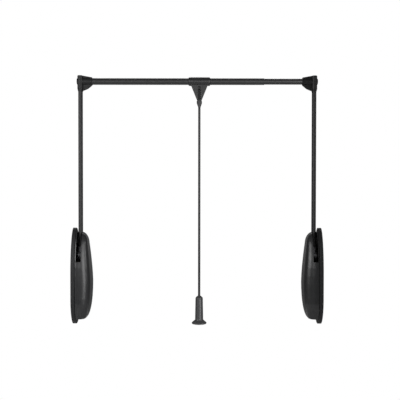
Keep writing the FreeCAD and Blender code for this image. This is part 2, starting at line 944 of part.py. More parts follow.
def carriage():
    reach = hub_rim_end + gear_width - size("rack_side")
    half = size("crossbar_half")
    bar = box("crossbar", (size("crossbar_wall_side"), -half, crossbar_low), (reach, half, crossbar_top))
    ways = [
        cylinder(
            "guide_way_" + side,
            (mechanism_plane, spread, crossbar_low),
            size("guide_radius") + size("slide_gap"),
            size("crossbar_height"),
        )
        for side, spread in guide_spots
    ]
    return cut("carriage_frame", join("carriage_solid", rack(), bar), *ways)


keep_both("pinion", pinion())
keep_both("rack_carriage", carriage())


# ---- gas spring, damper, guides and shelf -------------------------------------------------

shelf_top = -size("shelf_top")
shelf_low = shelf_top - size("shelf_thick")


def shelf():
    half = size("shelf_half")
    table = box("shelf_table", (plate, -half, shelf_low), (size("shelf_reach"), half, shelf_top))
    foot_end = plate + size("foot_thick")
    foot = box("shelf_foot", (plate, -half, shelf_top), (foot_end, half, shelf_top + size("foot_height")))
    ways = [
        cylinder(
            "shelf_way_" + side,
            (mechanism_plane, spread, shelf_low),
            size("guide_radius") + fit_gap,
            size("shelf_thick"),
        )
        for side, spread in guide_spots
    ]
    return cut("shelf", join("shelf_solid", table, foot), *ways)


def guide_rods():
    length = crossbar_top + size("guide_over") - shelf_low
    rods = [
        cylinder("guide_rod_" + side, (mechanism_plane, spread, shelf_low), size("guide_radius"), length)
        for side, spread in guide_spots
    ]
    return group("guide_rods", *rods)


def cylinder_tube(name, radius, spread):
    """A closed cylinder with a gland at its mouth."""
    wall = size("damper_wall")
    height = size("shelf_top") - size("damper_top")
    gland = size("gland_length")
    rod = size("damper_rod_radius") + size("shaft_gap")
    profile = [
        (0, 0),
        (radius, 0),
        (radius, height - wall),
        (radius - wall, height),
        (rod, height),
        (rod, height - gland),
        (radius - wall, height - gland),
        (radius - wall, wall),
        (0, wall),
    ]
    return turned(name, profile, (mechanism_plane, spread, shelf_top))


def piston_rod(name, radius, spread):
    bore = radius - size("damper_wall") - size("slide_gap")
    rod = size("damper_rod_radius")
    length = size("piston_level") + crossbar_low
    foot = length + size("piston_height")
    profile = [(0, 0), (rod, 0), (rod, length), (bore, length), (bore, foot), (0, foot)]
    return turned(name, profile, (mechanism_plane, spread, crossbar_low), "-Z")


gas_radius = size("gas_radius")
damper_radius = size("damper_radius")
gas_spread = gas_radius + size("strut_gap")
damper_spread = -(damper_radius + size("strut_gap"))

keep_both("spring_shelf", shelf())
keep_both("guide_rods", guide_rods())
keep_both("gas_spring", cylinder_tube("gas_spring", gas_radius, gas_spread))
keep_both("gas_spring_rod", piston_rod("gas_spring_rod", gas_radius, gas_spread))
keep_both("damper", cylinder_tube("damper", damper_radius, damper_spread))
keep_both("damper_rod", piston_rod("damper_rod", damper_radius, damper_spread))


def stop_pad():
    front = arm_deep / 2 + running_gap
    half = size("stop_wide") / 2
    low = (arm_plane - half, front, size("stop_low"))
    return box("stop_block", low, (arm_plane + half, front + size("stop_thick"), size("stop_high")))


keep_both("stop_pad", stop_pad())


# ---- corner connectors ---------------------------------------------------------------------

socket_reach = size("socket_reach")
socket_face = arm_plane + arm_wide / 2 + size("socket_floor")
cap_start = arm_plane - size("cap_out")
cap_seat = cap_start + size("cap_thick")
outer_radius = size("outer_tube_radius")
tube_wall = size("tube_wall")
inner_radius = outer_radius - tube_wall - size("slide_gap")


def barrel(name, bottom, top):
    """The barrel round the arm: rounded over at its top, drawn in towards the arm at its foot."""
    wide = arm_wide + 2 * size("barrel_margin")
    deep = arm_deep + 2 * size("barrel_margin")
    foot_wide = arm_wide + 2 * size("barrel_foot_margin")
    taper_top = bottom + size("barrel_taper")
    block = oval_bar(name + "_block", (arm_plane, as_size(0)), wide, deep, taper_top, top)
    crown = rounded(name + "_crown", block, (size("barrel_round"), edge_at("z", top)))
    foot = tapered_oval(name + "_foot", arm_plane, foot_wide, wide, deep, bottom, taper_top)
    return join(name, crown, foot)


def corner_web(name, bottom, top):
    """The web above and below the collar, with its edges rounded."""
    end = arm_plane + size("web_end")
    foot = arm_plane + arm_wide / 2 + size("barrel_foot_margin")
    step = bottom + size("web_step")
    outline = [
        (arm_plane, top),
        (arm_plane + size("web_shoulder"), top),
        (end, rod_height + size("web_top_end")),
        (end, rod_height - size("web_bottom_end")),
        (arm_plane + size("web_knee"), rod_height - size("web_knee_drop")),
        (foot, step),
        (arm_plane, step),
    ]
    web = padded(name + "_plate", "XZ_Plane", [outline], size("web_thick"), True)
    half = size("web_thick") / 2
    radius = size("web_round")
    return rounded(name, web, (radius, edge_at("y", half)), (radius, edge_at("y", -half)))


def corner(name, tube_radius):
    bottom = rod_height - size("barrel_drop")
    top = rod_height + size("barrel_rise")
    middle = (arm_plane, 0, rod_height)
    pipe = cylinder(name + "_pipe", middle, size("socket_radius"), socket_reach, "X")
    collar = rounded(name + "_collar", pipe, (size("socket_round"), edge_at("x", arm_plane + socket_reach)))
    solid = join(
        name + "_solid",
        barrel(name + "_barrel", bottom, top),
        collar,
        corner_web(name + "_web", bottom, top),
    )
    socket_wide = arm_wide + 2 * fit_gap
    socket_deep = arm_deep + 2 * fit_gap
    centre = (arm_plane, as_size(0))
    arm_way = oval_bar(name + "_arm_way", centre, socket_wide, socket_deep, bottom, arm_top)
    tube_start = (socket_face, 0, rod_height)
    tube_way = cylinder(name + "_tube_way", tube_start, tube_radius + fit_gap, socket_reach, "X")
    screw_radius = size("corner_screw_radius") + size("slide_gap")
    screw_way = cylinder(name + "_screw_way", middle, screw_radius, socket_reach, "X")
    head_radius = size("corner_screw_head") + size("slide_gap")
    head_way = cylinder(name + "_head_way", (0, 0, rod_height), head_radius, arm_plane, "X")
    cap_way = cylinder(name + "_cap_way", (0, 0, rod_height), size("cap_radius") + fit_gap, cap_seat, "X")
    return cut(name, solid, arm_way, tube_way, screw_way, head_way, cap_way)


def corner_cap():
    disc = cylinder("cap_disc", (cap_start, 0, rod_height), size("cap_radius"), size("cap_thick"), "X")
    return rounded("corner_cap", disc, (size("cap_round"), edge_at("x", cap_start)))


def corner_screw():
    head = size("corner_screw_head")
    radius = size("corner_screw_radius")
    thick = size("corner_screw_head_thick")
    start = arm_plane - arm_wide / 2 - thick
    length = size("corner_screw_length") + thick
    profile = [(0, 0), (head, 0), (head, thick), (radius, thick), (radius, length), (0, length)]
    return turned("corner_screw", profile, (start, 0, rod_height), "X")


def rod_plug(name, tube_radius):
    radius = tube_radius - tube_wall - fit_gap
    bore = size("corner_screw_radius") + fit_gap
    length = size("rod_plug_length")
    profile = [(bore, 0), (radius, 0), (radius, length), (bore, length)]
    return turned(name, profile, (socket_face, 0, rod_height), "X")


keep_both("corner", corner("outer_corner", outer_radius), corner("inner_corner", inner_radius))
keep_both("corner_cap", corner_cap())
keep_both("corner_screw", corner_screw())
keep_both("rod_plug", rod_plug("outer_rod_plug", outer_radius), rod_plug("inner_rod_plug", inner_radius))


# ---- hanging rod -----------------------------------------------------------------------------

def tube(name, start, end, radius):
    length = end - start
    outside = cylinder(name + "_outside", (start, 0, rod_height), radius, length, "X")
    inside = cylinder(name + "_inside", (start, 0, rod_height), radius - tube_wall, length, "X")
    return cut(name, outside, inside)


overall_width = size("overall_width")
outer_end = size("outer_tube_end")
keep("outer_tube", tube("outer_rod_tube", socket_face, outer_end, outer_radius))
inner_start = outer_end - size("inner_tube_hidden")
keep("inner_tube", tube("inner_rod_tube", inner_start, overall_width - socket_face, inner_radius))


# ---- pull rod bracket ----------------------------------------------------------------------------

bracket_middle = overall_width / 2 + size("bracket_offset")
sleeve_radius = size("sleeve_radius")
ear_low = rod_height - sleeve_radius - size("ear_length")
pin_height = rod_height - sleeve_radius - size("pin_drop")
fork_half = size("fork_half")


def sleeve(start, end):
    pipe = cylinder("sleeve_pipe", (start, 0, rod_height), sleeve_radius, end - start, "X")
    radius = size("sleeve_round")
    return rounded("bracket_sleeve", pipe, (radius, edge_at("x", start)), (radius, edge_at("x", end)))


def ears():
    """The tapering web under the sleeve, which the fork parts into two ears."""
    wide = size("ear_top_half")
    narrow = size("ear_bottom_half")
    ear_top = rod_height - outer_radius
    outline = [
        (bracket_middle - wide, ear_top),
        (bracket_middle - narrow, ear_low),
        (bracket_middle + narrow, ear_low),
        (bracket_middle + wide, ear_top),
    ]
    plank = padded("ear_plank", "XZ_Plane", [outline], size("ear_thick"), True)
    web = rounded("ear_web", plank, (size("ear_round"), slanted))
    start = (bracket_middle - wide, 0, pin_height)
    thing = document.addObject("Part::Common", "ears")
    thing.Base = web
    thing.Tool = cylinder("ear_round_end", start, pin_height - ear_low, 2 * wide, "X")
    return thing


def fork_ways():
    """The fork's gap: arched in front, and closed above the rod head by a web at the rear."""
    thick = size("ear_thick")
    low = bracket_middle - fork_half
    high = bracket_middle + fork_half
    web_face = size("fork_web_face")
    arch = rod_height - sleeve_radius - size("fork_top") - fork_half
    head_room = pin_height + size("eye_radius") + running_gap
    return [
        box("fork_front", (low, -thick, ear_low), (high, web_face, arch)),
        cylinder("fork_arch", (bracket_middle, -thick, arch), fork_half, thick + web_face, "Y"),
        box("fork_rear", (low, web_face, ear_low), (high, thick, head_room)),
    ]


def bracket():
    half = size("sleeve_length") / 2
    start = bracket_middle - half
    end = bracket_middle + half
    bore = cylinder("bracket_bore", (start, 0, rod_height), outer_radius + fit_gap, end - start, "X")
    pin_radius = size("pin_radius") + fit_gap
    pin_half = size("pin_half")
    pin_way = cylinder("pin_way", (bracket_middle - pin_half, 0, pin_height), pin_radius, 2 * pin_half, "X")
    grub_radius = size("grub_radius") + fit_gap
    grub_way = cylinder("grub_way", (bracket_middle, 0, rod_height), grub_radius, 2 * sleeve_radius, "Y")
    solid = join("bracket_solid", sleeve(start, end), ears())
    return cut("bracket", solid, bore, pin_way, grub_way, *fork_ways())


def bracket_screw():
    start = outer_radius + fit_gap
    radius = size("grub_radius")
    socket = radius / 2
    length = sleeve_radius - start - fit_gap
    profile = [(0, 0), (radius, 0), (radius, length), (socket, length), (socket, length / 2), (0, length / 2)]
    return turned("bracket_grub", profile, (bracket_middle, start, rod_height), "Y")


def clevis_pin():
    half = size("pin_half")
    start = (bracket_middle - half, 0, pin_height)
    return cylinder("clevis_pin_bar", start, size("pin_radius"), 2 * half, "X")


keep("pull_rod_bracket", bracket())
keep("bracket_screw", bracket_screw())
keep("clevis_pin", clevis_pin())


# ---- pull rod and grip ------------------------------------------------------------------------------

ferrule_top = ear_low - running_gap
ferrule_length = size("ferrule_length")
ferrule_low = ferrule_top - ferrule_length
pull_rod_radius = size("pull_rod_radius")
pull_rod_top = ferrule_low + size("pull_rod_seat")


def ferrule():
    """A ferrule that swells below the ears and draws in to the rod; height runs down."""
    widest = size("ferrule_radius")
    mouth = pull_rod_radius + tube_wall / 2
    shoulder = size("ferrule_shoulder")
    belly = size("ferrule_belly")
    profile = [
        (0, 0),
        (size("ferrule_top_radius"), 0),
        (widest, shoulder),
        (widest, belly),
        (pull_rod_radius + tube_wall, ferrule_length - size("ferrule_lip")),
        (mouth, ferrule_length),
        (0, ferrule_length),
    ]
    body = turned("ferrule_body", profile, (bracket_middle, 0, ferrule_top), "-Z")
    radius = size("ferrule_round")
    upper = (radius, ring_at(widest, ferrule_top - shoulder))
    lower = (radius, ring_at(widest, ferrule_top - belly))
    return rounded("ferrule", body, upper, lower)


def rod_head():
    cheek = fork_half - running_gap
    eye = cylinder("eye", (bracket_middle - cheek, 0, pin_height), size("eye_radius"), 2 * cheek, "X")
    neck_half = size("neck_half")
    neck = box(
        "head_neck",
        (bracket_middle - cheek, -neck_half, ferrule_top - neck_half),
        (bracket_middle + cheek, neck_half, pin_height),
    )
    pin_radius = size("pin_radius") + size("shaft_gap")
    pin_way = cylinder("eye_way", (bracket_middle - cheek, 0, pin_height), pin_radius, 2 * cheek, "X")
    rod_start = (bracket_middle, 0, ferrule_low)
    rod_way = cylinder("head_rod_way", rod_start, pull_rod_radius + fit_gap, size("pull_rod_seat"))
    return cut("rod_head_solid", join("rod_head_blank", eye, neck, ferrule()), pin_way, rod_way)


grip_top = -size("grip_top")
grip_low = grip_top - size("grip_length")
grip_floor = grip_low + size("grip_recess")
grip_seat = grip_floor + size("grip_web")
screw_reach = size("grip_screw_length")
grip_screw_radius = size("grip_screw_radius")


def pull_rod():
    bar = cylinder("pull_bar", (bracket_middle, 0, grip_seat), pull_rod_radius, pull_rod_top - grip_seat)
    way = cylinder(
        "pull_bar_tap",
        (bracket_middle, 0, grip_seat),
        grip_screw_radius + fit_gap,
        grip_floor + screw_reach - grip_seat,
    )
    return cut("pull_bar_tapped", bar, way)


def grip():
    """Height runs down from the grip's top."""
    length = size("grip_length")
    stem = size("grip_stem_radius")
    taper = size("grip_taper")
    waist = size("grip_waist_radius")
    rim = size("grip_rim_radius")
    rim_top = length - size("grip_rim_thick")
    flare_top = rim_top - size("grip_flare")
    bore = pull_rod_radius + fit_gap
    screw = grip_screw_radius + fit_gap
    recess = size("grip_recess")
    inner = rim - size("grip_wall")
    seat_depth = length - recess - size("grip_web")
    profile = [
        (bore, 0),
        (size("grip_neck_radius"), 0),
        (stem, taper),
        (waist, flare_top),
        (rim, rim_top),
        (rim, length),
        (inner, length),
        (inner - recess / 2, length - recess),
        (screw, length - recess),
        (screw, seat_depth),
        (bore, seat_depth),
    ]
    body = turned("grip_body", profile, (bracket_middle, 0, grip_top), "-Z")
    soft = size("grip_round")
    return rounded(
        "grip_shell",
        body,
        (soft, ring_at(stem, grip_top - taper)),
        (size("grip_hollow_round"), ring_at(waist, grip_top - flare_top)),
        (soft, ring_at(rim, grip_top - rim_top)),
        (size("grip_rim_round"), ring_at(rim, grip_low)),
    )


def grip_screw():
    head = size("grip_screw_head")
    thick = size("grip_recess") / 2
    bevel = thick / 2
    profile = [
        (0, 0),
        (head - bevel, 0),
        (head, bevel),
        (head, thick),
        (grip_screw_radius, thick),
        (grip_screw_radius, thick + screw_reach),
        (0, thick + screw_reach),
    ]
    return turned("grip_screw_body", profile, (bracket_middle, 0, grip_floor - thick))


keep("rod_head", rod_head())
keep("pull_rod", pull_rod())
keep("grip", grip())
keep("grip_screw", grip_screw())


# ---- check and write ----------------------------------------------------------------------------------

document.recompute()
for thing in document.Objects:
    if "Invalid" in thing.State or "Error" in thing.State:
        raise RuntimeError("%s failed: %s" % (thing.Label, thing.State))
os.makedirs("parts", exist_ok=True)
for node in NODES:
    shape = node.Shape
    if shape.isNull() or not shape.isValid() or not shape.Solids:
        raise RuntimeError("%s has no valid solid" % node.Label)
    shape.exportStep("parts/%s.step" % node.Label)
    print("%-24s %2d solids %9.1f mm3" % (node.Label, len(shape.Solids), shape.Volume))
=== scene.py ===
import math

import bpy
from mathutils import Matrix, Vector


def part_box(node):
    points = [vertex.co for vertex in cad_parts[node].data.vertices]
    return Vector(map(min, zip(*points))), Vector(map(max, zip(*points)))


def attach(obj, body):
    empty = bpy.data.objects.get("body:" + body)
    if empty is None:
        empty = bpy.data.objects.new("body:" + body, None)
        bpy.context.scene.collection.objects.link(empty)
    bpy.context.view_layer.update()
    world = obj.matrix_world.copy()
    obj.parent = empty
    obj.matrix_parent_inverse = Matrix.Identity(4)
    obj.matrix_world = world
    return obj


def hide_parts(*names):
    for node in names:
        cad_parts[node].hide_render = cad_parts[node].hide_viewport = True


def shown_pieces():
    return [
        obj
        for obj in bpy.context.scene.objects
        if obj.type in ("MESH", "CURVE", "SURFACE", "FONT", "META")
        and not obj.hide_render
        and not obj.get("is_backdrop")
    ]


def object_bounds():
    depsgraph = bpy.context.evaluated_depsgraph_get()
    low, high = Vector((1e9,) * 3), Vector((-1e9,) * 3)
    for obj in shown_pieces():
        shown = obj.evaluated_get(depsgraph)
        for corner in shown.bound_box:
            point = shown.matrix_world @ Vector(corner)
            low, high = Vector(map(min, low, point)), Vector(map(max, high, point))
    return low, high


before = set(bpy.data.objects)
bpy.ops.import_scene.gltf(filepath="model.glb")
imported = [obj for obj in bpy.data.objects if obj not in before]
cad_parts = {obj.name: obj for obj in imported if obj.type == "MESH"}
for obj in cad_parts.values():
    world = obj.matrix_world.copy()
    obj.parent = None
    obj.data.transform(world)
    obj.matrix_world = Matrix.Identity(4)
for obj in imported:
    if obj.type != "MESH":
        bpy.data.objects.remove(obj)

# Pull-down closet rod: the looks.  Metres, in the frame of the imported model: origin on the
# left housing's wall face at the pivot axis, +X to the right housing, +Y to the wardrobe's
# back, +Z up.

cad_low, cad_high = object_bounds()
MM = 0.001
WHITE = (1, 1, 1, 1)

# ---- camera ------------------------------------------------------------------------------

IMAGE_WIDTH = 400
SENSOR_MM = 36.0
PIXEL_AT_ROD = 3.431 * MM
STAND_OFF = 2.1
AIM_HEIGHT = 0.1895
AIM_ASIDE = 0.0096
TILT_DOWN = math.radians(0.93)
ROLL = math.radians(0.06)
NEAREST_SEEN = 0.05
FARTHEST_SEEN = 100


def set_camera():
    """Stands the camera in front of the lift, with the lens that fits a pixel to the rod."""
    middle = (cad_low.x + cad_high.x) / 2
    aim = Vector((middle + AIM_ASIDE, 0, AIM_HEIGHT))
    eye = bpy.data.cameras.new("eye")
    eye.sensor_width = SENSOR_MM
    eye.lens = STAND_OFF / PIXEL_AT_ROD / IMAGE_WIDTH * SENSOR_MM
    eye.clip_start = NEAREST_SEEN
    eye.clip_end = FARTHEST_SEEN
    holder = bpy.data.objects.new("eye", eye)
    bpy.context.scene.collection.objects.link(holder)
    back = Vector((0, -math.cos(TILT_DOWN), math.sin(TILT_DOWN)))
    turn = (-back).to_track_quat("-Z", "Y").to_matrix().to_4x4()
    place = Matrix.Translation(aim + back * STAND_OFF)
    holder.matrix_world = place @ turn @ Matrix.Rotation(ROLL, 4, "Z")
    bpy.context.scene.camera = holder


# ---- shader nodes as sums ----------------------------------------------------------------

# Sockets of the Mix node when it mixes colours, which have no names of their own.
MIX_SHARE, MIX_FIRST, MIX_SECOND, MIX_RESULT = 0, 6, 7, 2


class Signal:
    """A number that changes over the surface; Python's operators add Math nodes to it."""

    def __init__(self, tree, socket):
        self.tree = tree
        self.socket = socket

    def maths(self, operation, *numbers):
        inputs = dict(enumerate(numbers))
        return self.tree.node("ShaderNodeMath", {"operation": operation}, inputs)

    def __add__(self, other):
        return self.maths("ADD", self, other)

    def __radd__(self, other):
        return self.maths("ADD", other, self)

    def __sub__(self, other):
        return self.maths("SUBTRACT", self, other)

    def __rsub__(self, other):
        return self.maths("SUBTRACT", other, self)

    def __mul__(self, other):
        return self.maths("MULTIPLY", self, other)

    def __rmul__(self, other):
        return self.maths("MULTIPLY", other, self)

    def or_higher(self, other):
        return self.maths("MAXIMUM", self, other)

    def kept_in(self, low, high):
        """0 where this signal is at `low` or less, 1 where it is at `high` or more."""
        inputs = {"Value": self, "From Min": low, "From Max": high}
        return self.tree.node("ShaderNodeMapRange", {"clamp": True}, inputs)


class Tree:
    """A node tree that grows by one call for each node."""

    def __init__(self, tree):
        self.tree = tree

    def node(self, kind, settings, inputs, output=0):
        made = self.tree.nodes.new(kind)
        for field, value in settings.items():
            setattr(made, field, value)
        for socket, value in inputs.items():
            self.feed(made.inputs[socket], value)
        return Signal(self, made.outputs[output]) if made.outputs else None

    def feed(self, socket, value):
        if isinstance(value, Signal):
            self.tree.links.new(value.socket, socket)
        else:
            socket.default_value = value

    def seen_by(self, *kinds):
        """1 for rays of these kinds, such as Camera or Glossy, and 0 for others."""
        seen = 0.0
        for kind in kinds:
            seen = self.node("ShaderNodeLightPath", {}, {}, f"Is {kind} Ray").or_higher(seen)
        return seen


class Finish(Tree):
    """One procedural material and the nodes that make it."""

    def __init__(self, name, colour, roughness, **constants):
        self.material = bpy.data.materials.new(name)
        self.material.use_nodes = True
        super().__init__(self.material.node_tree)
        self.shader = self.tree.nodes["Principled BSDF"]
        self.shader.inputs["Base Color"].default_value = (*colour, 1)
        self.shader.inputs["Roughness"].default_value = roughness
        for socket, value in constants.items():
            self.shader.inputs[socket.replace("_", " ")].default_value = value
        self.place = self.node("ShaderNodeTexCoord", {}, {}, "Object")

    def stretched(self, scale):
        """Object coordinates, scaled along each axis."""
        inputs = {"Vector": self.place, "Scale": scale}
        return self.node("ShaderNodeMapping", {}, inputs, "Vector")

    def noise(self, scale, detail, where=None):
        inputs = {"Vector": where or self.place, "Scale": scale, "Detail": detail}
        return self.node("ShaderNodeTexNoise", {}, inputs, "Fac")

    def mixed(self, share, first, second):
        """A colour between two others."""
        inputs = {MIX_SHARE: share, MIX_FIRST: (*first, 1), MIX_SECOND: (*second, 1)}
        return self.node("ShaderNodeMix", {"data_type": "RGBA"}, inputs, MIX_RESULT)

    def colour(self, value):
        self.feed(self.shader.inputs["Base Color"], value)

    def mottle(self, mask, colour, darkest, lightest):
        """Runs the base colour between two shares of `colour` as `mask` goes from 0 to 1."""
        ends = [[channel * share for channel in colour] for share in (darkest, lightest)]
        self.colour(self.mixed(mask, *ends))

    def roughness(self, value):
        self.feed(self.shader.inputs["Roughness"], value)

    def bump(self, height, depth):
        """Raises the surface by `depth` metres where `height` is 1."""
        inputs = {"Height": height, "Distance": depth}
        normal = self.node("ShaderNodeBump", {}, inputs, "Normal")
        self.feed(self.shader.inputs["Normal"], normal)


# ---- finishes ----------------------------------------------------------------------------

# In each recipe the factor after a mask is what the mask adds to the roughness where it is 1.

FINE_GRAIN = 1900.0
# The width of the blend into the painted fork shade on the rod head's neck and eye.
FORK_SHADE_EDGE = 0.3 * MM
FERRULE_TOP = 531.3 * MM


def moulding(name, colour, roughness, grain, shine=0.35):
    """Black moulded plastic: an even spark-eroded grain, faint cloudy gloss, slight greying."""
    finish = Finish(name, colour, roughness, Specular_IOR_Level=shine)
    cloud = finish.noise(scale=35.0, detail=3.0)
    fine = finish.noise(scale=FINE_GRAIN, detail=2.0)
    finish.mottle(cloud, colour, darkest=0.88, lightest=1.16)
    finish.roughness(roughness - 0.04 + cloud * 0.05 + fine * 0.05)
    finish.bump(fine, depth=grain)
    return finish.material


def powder_coat(name, colour, roughness, shine=0.3):
    """Baked powder paint: shallow orange peel over fine specks."""
    finish = Finish(name, colour, roughness, Specular_IOR_Level=shine)
    peel = finish.noise(scale=420.0, detail=1.0)
    speck = finish.noise(scale=2600.0, detail=2.0)
    cloud = finish.noise(scale=14.0, detail=2.0)
    finish.mottle(cloud, colour, darkest=0.9, lightest=1.12)
    finish.roughness(roughness - 0.03 + speck * 0.07)
    finish.bump(peel * 0.7 + speck * 0.3, depth=0.02 * MM)
    return finish.material


def steel(name, colour, roughness, lines_scale):
    """Bare metal with fine lines, from a noise that is scaled along each axis."""
    finish = Finish(name, colour, roughness, Metallic=1.0)
    lines = finish.noise(scale=1.0, detail=3.0, where=finish.stretched(lines_scale))
    haze = finish.noise(scale=60.0, detail=3.0)
    finish.mottle(haze, colour, darkest=0.86, lightest=1.08)
    finish.roughness(roughness - 0.05 + lines * 0.1 + haze * 0.05)
    finish.bump(lines, depth=0.012 * MM)
    return finish.material


def casting(name, colour, roughness):
    """Zinc casting: grainy skin, dark passivated, brighter where it rubs."""
    finish = Finish(name, colour, roughness, Metallic=0.85)
    grain = finish.noise(scale=900.0, detail=3.0)
    patch = finish.noise(scale=80.0, detail=4.0).kept_in(low=0.4, high=0.65)
    finish.mottle(patch, colour, darkest=0.8, lightest=1.25)
    finish.roughness(roughness + grain * 0.12 - patch * 0.06)
    finish.bump(grain, depth=0.04 * MM)
    return finish.material


def rubber(name, colour, roughness):
    """Dull rubber: grainy, with a pale bloom in patches."""
    finish = Finish(name, colour, roughness, Specular_IOR_Level=0.3)
    grain = finish.noise(scale=1400.0, detail=3.0)
    bloom = finish.noise(scale=50.0, detail=3.0)
    finish.mottle(bloom, colour, darkest=0.85, lightest=1.3)
    finish.roughness(roughness - 0.06 + grain * 0.14)
    finish.bump(grain, depth=0.03 * MM)
    return finish.material


def painted_fork_shade(name, colour, roughness, fork_shade_colour, height):
    """A satin moulding of another colour above a height: painted shade from the fork."""
    finish = Finish(name, colour, roughness, Specular_IOR_Level=0.14)
    level = finish.node("ShaderNodeSeparateXYZ", {}, {"Vector": finish.place}, "Z")
    above = level.kept_in(height - FORK_SHADE_EDGE, height + FORK_SHADE_EDGE)
    fine = finish.noise(scale=FINE_GRAIN, detail=2.0)
    # Painted shade: the colour turns darker above the height, where the fork shades the head.
    finish.colour(finish.mixed(above, colour, fork_shade_colour))
    finish.roughness(roughness - 0.04 + fine * 0.06)
    finish.bump(fine, depth=0.005 * MM)
    return finish.material


# The scale of a steel's noise on each axis: low along its lines and high across them.
ALONG_X = (40, 1600, 1600)
ALONG_Z = (1600, 1600, 40)
ROUND_X = (2200, 90, 90)

# The recipe of each finish and what it is given: a colour and a roughness, then the depth of
# the grain and the shine (moulding), the shine (powder coat), the scale of the lines (steel),
# or the darker colour above a height and that height (painted shade of the fork).
RECIPES = {
    "housing_plastic": (moulding, (0.0095, 0.0097, 0.0102), 0.5, 0.009 * MM, 0.24),
    "cover_plastic": (moulding, (0.0135, 0.0137, 0.0145), 0.3, 0.004 * MM, 0.36),
    "connector_plastic": (moulding, (0.0072, 0.0073, 0.0077), 0.44, 0.007 * MM, 0.24),
    "grip_plastic": (moulding, (0.031, 0.0312, 0.0322), 0.33, 0.003 * MM, 0.56),
    "plug_plastic": (moulding, (0.03, 0.03, 0.031), 0.5, 0.014 * MM),
    "bush_plastic": (moulding, (0.72, 0.71, 0.66), 0.38, 0.008 * MM),
    "rod_paint": (powder_coat, (0.0145, 0.0145, 0.015), 0.4, 0.35),
    "arm_paint": (powder_coat, (0.014, 0.014, 0.0145), 0.42, 0.23),
    "black_tube": (powder_coat, (0.012, 0.012, 0.0125), 0.3),
    "damper_tube": (steel, (0.56, 0.57, 0.59), 0.34, ALONG_Z),
    "ground_steel": (steel, (0.58, 0.58, 0.6), 0.24, ALONG_Z),
    "gear_steel": (steel, (0.4, 0.4, 0.41), 0.42, ALONG_X),
    "cast_zinc": (casting, (0.15, 0.15, 0.16), 0.5),
    "zinc_plate": (steel, (0.55, 0.55, 0.53), 0.4, ALONG_X),
    "screw_steel": (steel, (0.07, 0.07, 0.075), 0.4, ROUND_X),
    "rubber_pad": (rubber, (0.022, 0.022, 0.022), 0.8),
    "bracket_plastic": (moulding, (0.0105, 0.0106, 0.011), 0.35, 0.003 * MM, 0.39),
    # The rod head is painted darker above the ferrule, standing in for the fork's shade.
    "rod_head_plastic": (
        painted_fork_shade, (0.046, 0.046, 0.047), 0.6, (0.012, 0.012, 0.0125), FERRULE_TOP
    ),
}
FINISHES = {name: recipe(name, *given) for name, (recipe, *given) in RECIPES.items()}


def dress_nodes():
    """Gives each CAD node the finish of its packed slot."""
    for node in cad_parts.values():
        for place in node.material_slots:
            place.material = FINISHES[place.material.name.split(".")[0]]


# ---- pieces that are fuller than their solids --------------------------------------------

SLEEVE_FILLET = 3.0 * MM
SLEEVE_SHOULDER = 5.8 * MM
FILLET_MARGIN = 1.02
PULL_ROD_FILL = 8.0 / 7.0
CHEEK = 4.6 * MM
CHEEK_FILL = 4.85 / 4.6
NECK_HALF = 5.0 * MM
SLACK = 0.01 * MM
SAME_POINT = 0.001 * MM
CREASE = math.radians(32)


def recast(node, name, finish):
    """A closed copy of a solid's mesh, all selected and ready to be reshaped in edit mode."""
    piece = bpy.data.objects.new(name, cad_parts[node].data.copy())
    bpy.context.scene.collection.objects.link(piece)
    piece.data.materials.clear()
    piece.data.materials.append(FINISHES[finish])
    bpy.ops.object.select_all(action="DESELECT")
    piece.select_set(True)
    bpy.context.view_layer.objects.active = piece
    bpy.ops.mesh.customdata_custom_splitnormals_clear()
    bpy.ops.object.mode_set(mode="EDIT")
    bpy.ops.mesh.select_mode(type="VERT")
    bpy.ops.mesh.select_all(action="SELECT")
    bpy.ops.mesh.remove_doubles(threshold=SAME_POINT)
    return piece


def settle(piece, node, body):
    """Smooths a reshaped piece and puts it on its body in place of the solid."""
    bpy.ops.object.mode_set(mode="OBJECT")
    bpy.ops.object.shade_smooth_by_angle(angle=CREASE)
    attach(piece, body)
    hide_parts(node)


def select_points(piece, wanted):
    """Selects the points for which `wanted` is true, and no others."""
    bpy.ops.mesh.select_all(action="DESELECT")
    bpy.ops.object.mode_set(mode="OBJECT")
    for point in piece.data.vertices:
        point.select = wanted(point.co)
    bpy.ops.object.mode_set(mode="EDIT")


def long_shouldered_bracket():
    """The bracket, with the rounding of its sleeve's ends drawn out along the rod."""
    piece = recast("pull_rod_bracket", "rod_bracket", "bracket_plastic")
    low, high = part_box("pull_rod_bracket")
    reach = SLEEVE_FILLET * FILLET_MARGIN
    drawn_out = (SLEEVE_SHOULDER / SLEEVE_FILLET, 1, 1)
    for end in (low[0], high[0]):
        select_points(piece, lambda point: abs(point.x - end) < reach)
        bpy.ops.transform.resize(value=drawn_out, center_override=(end, 0, 0))
    settle(piece, "pull_rod_bracket", "frame")


def close_fitting_head():
    """The rod head, filling the fork to a twentieth of a millimetre on each side."""
    piece = recast("rod_head", "fork_head", "rod_head_plastic")
    low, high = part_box("rod_head")
    middle = (low[0] + high[0]) / 2

    def in_fork(point):
        on_neck = abs(point.x - middle) < CHEEK + SLACK and abs(point.y) < NECK_HALF + SLACK
        return point.z > FERRULE_TOP + SLACK or (on_neck and point.z > FERRULE_TOP - SLACK)

    select_points(piece, in_fork)
    bpy.ops.transform.resize(value=(CHEEK_FILL, 1, 1), center_override=(middle, 0, FERRULE_TOP))
    settle(piece, "rod_head", "pull_rod")


def full_pull_rod():
    """The pull rod at its full thickness, scaled about its own axis."""
    piece = recast("pull_rod", "pull_bar", "arm_paint")
    low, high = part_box("pull_rod")
    middle = ((low[0] + high[0]) / 2, (low[1] + high[1]) / 2, low[2])
    fuller = (PULL_ROD_FILL, PULL_ROD_FILL, 1)
    bpy.ops.transform.resize(value=fuller, center_override=middle)
    settle(piece, "pull_rod", "pull_rod")


# ---- studio ------------------------------------------------------------------------------

FLOOR_DROP = 1.0
FLOOR_RADIUS = 2.4
FLOOR_SIDES = 96
# Distances from the floor's middle over which it turns to plain white.
PLAIN_FROM, PLAIN_AT = 0.9, 2.0
